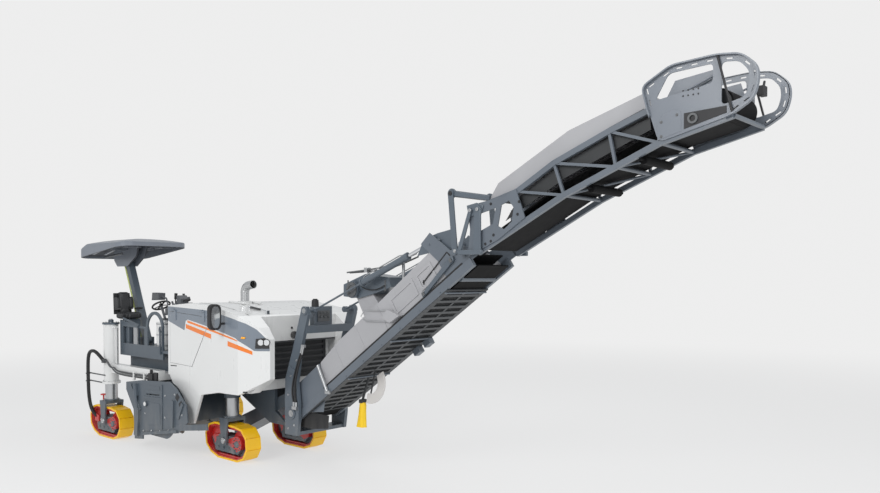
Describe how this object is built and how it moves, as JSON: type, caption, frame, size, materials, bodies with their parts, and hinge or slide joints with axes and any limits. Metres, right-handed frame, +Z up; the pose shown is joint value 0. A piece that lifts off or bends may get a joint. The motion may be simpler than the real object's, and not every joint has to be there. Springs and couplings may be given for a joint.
{
  "type": "compact cold planer milling machine",
  "caption": "Tracked road milling machine with a drum between its axles, a roofed platform and a slewing, folding loading conveyor at the front.",
  "frame": {"origin": "centre of the machine's length and width with the conveyor straight ahead, on the ground", "axes": "+X forward along the loading conveyor, +Y to the operator's left, +Z up"},
  "size_m": [12.119, 2.645, 4.8951],
  "materials": {
    "white_paint": "gloss enamel on formed panels",
    "grey_paint": "satin slate enamel",
    "dark_paint": "satin charcoal enamel",
    "red_paint": "semi-gloss red enamel, dusty",
    "cover_sheet": "plain rolled sheet, satin",
    "machined_steel": "turned or drawn steel",
    "chromed_rod": "polished hard chrome",
    "track_rubber": "moulded polyurethane pads on steel links",
    "belt_rubber": "dull black belting",
    "moulded_black": "grained moulding",
    "canopy_plastic": "gel-coated glass-fibre roof",
    "seat_vinyl": "embossed vinyl over foam",
    "lamp_glass": "clear ribbed lens"
  },
  "bodies": {
    "machine": {"chassis": "grey_paint", "slew_tongue": "grey_paint", "hood": "white_paint", "side_panel_left": "white_paint", "side_panel_right": "white_paint", "engine_block": "dark_paint", "radiator_grille": "moulded_black", "exhaust_pipe": "dark_paint", "drum_box": "grey_paint", "side_plate_right": "grey_paint", "side_plate_left": "grey_paint", "platform": "grey_paint", "canister": "white_paint", "operator_seat": "seat_vinyl", "seat_stand": "dark_paint", "console": "moulded_black", "steering_wheel": "moulded_black", "rear_leg_towers": "white_paint", "front_leg_sleeves": "grey_paint", "primary_conveyor": "grey_paint", "mirror": "moulded_black", "headlamps": "lamp_glass", "mast_bracket": "dark_paint"},
    "drum": {"milling_drum": "machined_steel"},
    "scraper_blade": {"scraper": "grey_paint"},
    "service_flap": {"side_flap": "white_paint"},
    "mast": {"canopy_mast": "dark_paint"},
    "mast_link": {"canopy_link": "machined_steel"},
    "roof": {"canopy_roof": "canopy_plastic"},
    "tower": {"slew_tower": "white_paint"},
    "lift_barrel": {"lift_barrels": "dark_paint"},
    "lift_rod": {"lift_rods": "chromed_rod"},
    "lower_conveyor": {"lower_frame": "grey_paint", "lower_cover": "cover_sheet", "lower_belt": "belt_rubber", "lower_guard": "grey_paint", "blower": "dark_paint"},
    "rocker": {"fold_rocker": "grey_paint"},
    "tie": {"fold_tie": "machined_steel"},
    "outer_conveyor": {"outer_frame": "grey_paint", "outer_cover": "cover_sheet", "outer_belt": "belt_rubber", "head_drum": "machined_steel", "discharge_guards": "cover_sheet"},
    "track_unit_front_right": {"leg_front_right": "machined_steel", "roller_frame_front_right": "red_paint", "track_front_right": "track_rubber"},
    "track_unit_front_left": {"leg_front_left": "machined_steel", "roller_frame_front_left": "red_paint", "track_front_left": "track_rubber"},
    "track_unit_rear_right": {"leg_rear_right": "machined_steel", "roller_frame_rear_right": "red_paint", "track_rear_right": "track_rubber"},
    "track_unit_rear_left": {"leg_rear_left": "machined_steel", "roller_frame_rear_left": "red_paint", "track_rear_left": "track_rubber"}
  },
  "joints": [
    {"name": "front_right_steer", "type": "hinge", "parent": "machine", "child": "track_unit_front_right", "pos_m": [-1.92953, -0.6035, 0.9], "axis": [0, 0, 1], "range_deg": [-25, 25]},
    {"name": "front_left_steer", "type": "hinge", "parent": "machine", "child": "track_unit_front_left", "pos_m": [-1.92953, 0.6885, 0.9], "axis": [0, 0, 1], "range_deg": [-25, 25]},
    {"name": "rear_right_steer", "type": "hinge", "parent": "machine", "child": "track_unit_rear_right", "pos_m": [-4.99953, -1.0725, 0.9], "axis": [0, 0, 1], "range_deg": [-25, 25]},
    {"name": "rear_left_steer", "type": "hinge", "parent": "machine", "child": "track_unit_rear_left", "pos_m": [-4.99953, 1.1575, 0.9], "axis": [0, 0, 1], "range_deg": [-25, 25]},
    {"name": "drum_spin", "type": "hinge", "parent": "machine", "child": "drum", "pos_m": [-3.04953, -0.6475, 0.64], "axis": [0, 1, 0], "continuous": true},
    {"name": "scraper_swing", "type": "hinge", "parent": "machine", "child": "scraper_blade", "pos_m": [-3.62953, -0.6475, 1], "axis": [0, 1, 0], "range_deg": [0, 40]},
    {"name": "flap_hinge", "type": "hinge", "parent": "machine", "child": "service_flap", "pos_m": [-2.62953, -1.0698, 2.305], "axis": [-1, 0, 0], "range_deg": [0, 75]},
    {"name": "canopy_fold", "type": "hinge", "parent": "machine", "child": "mast", "pos_m": [-4.67453, -0.5575, 1.7], "axis": [0, -1, 0], "range_deg": [0, 25]},
    {"name": "canopy_link_turn", "type": "hinge", "parent": "machine", "child": "mast_link", "pos_m": [-4.86453, -0.5575, 1.7], "axis": [0, -1, 0], "range_deg": [0, 25]},
    {"name": "canopy_level", "type": "hinge", "parent": "mast", "child": "roof", "pos_m": [-5.30153, -0.5575, 3.085], "axis": [0, -1, 0], "range_deg": [-25, 0]},
    {"name": "conveyor_slew", "type": "hinge", "parent": "machine", "child": "tower", "pos_m": [-0.80953, 0.0425, 0.54], "axis": [0, 0, 1], "range_deg": [-50, 50]},
    {"name": "conveyor_lift", "type": "hinge", "parent": "tower", "child": "lower_conveyor", "pos_m": [-0.64953, 0.0425, 0.83], "axis": [0, -1, 0], "range_deg": [-15, 5]},
    {"name": "lift_cylinder_swing", "type": "hinge", "parent": "tower", "child": "lift_barrel", "pos_m": [-0.33953, 0.0425, 2.35], "axis": [0, -1, 0], "range_deg": [-25, 10]},
    {"name": "lift_cylinder_stroke", "type": "slide", "parent": "lift_barrel", "child": "lift_rod", "axis": [0.9299, 0, 0.3679], "range_m": [-0.25, 0.5]},
    {"name": "conveyor_fold", "type": "hinge", "parent": "lower_conveyor", "child": "outer_conveyor", "pos_m": [2.71758, 0.0425, 3.11815], "axis": [0, 1, 0], "range_deg": [0, 60]},
    {"name": "fold_rocker_swing", "type": "hinge", "parent": "lower_conveyor", "child": "rocker", "pos_m": [2.44758, 0.0425, 3.14815], "axis": [0, 1, 0], "range_deg": [0, 60]},
    {"name": "fold_tie_swing", "type": "hinge", "parent": "rocker", "child": "tie", "pos_m": [2.37758, 0.0425, 3.84815], "axis": [0, 1, 0], "range_deg": [-30, 0]}
  ],
  "couplings": [
    {"joint": "front_left_steer", "follows": "front_right_steer", "ratio": 1},
    {"joint": "rear_left_steer", "follows": "rear_right_steer", "ratio": 1},
    {"joint": "canopy_link_turn", "follows": "canopy_fold", "ratio": 1},
    {"joint": "canopy_level", "follows": "canopy_fold", "ratio": -1},
    {"joint": "lift_cylinder_swing", "follows": "conveyor_lift", "ratio": 1.2639},
    {"joint": "lift_cylinder_stroke", "follows": "conveyor_lift", "m_per_rad": -1.387},
    {"joint": "fold_rocker_swing", "follows": "conveyor_fold", "ratio": 0.89921},
    {"joint": "fold_tie_swing", "follows": "conveyor_fold", "ratio": -0.34872}
  ]
}
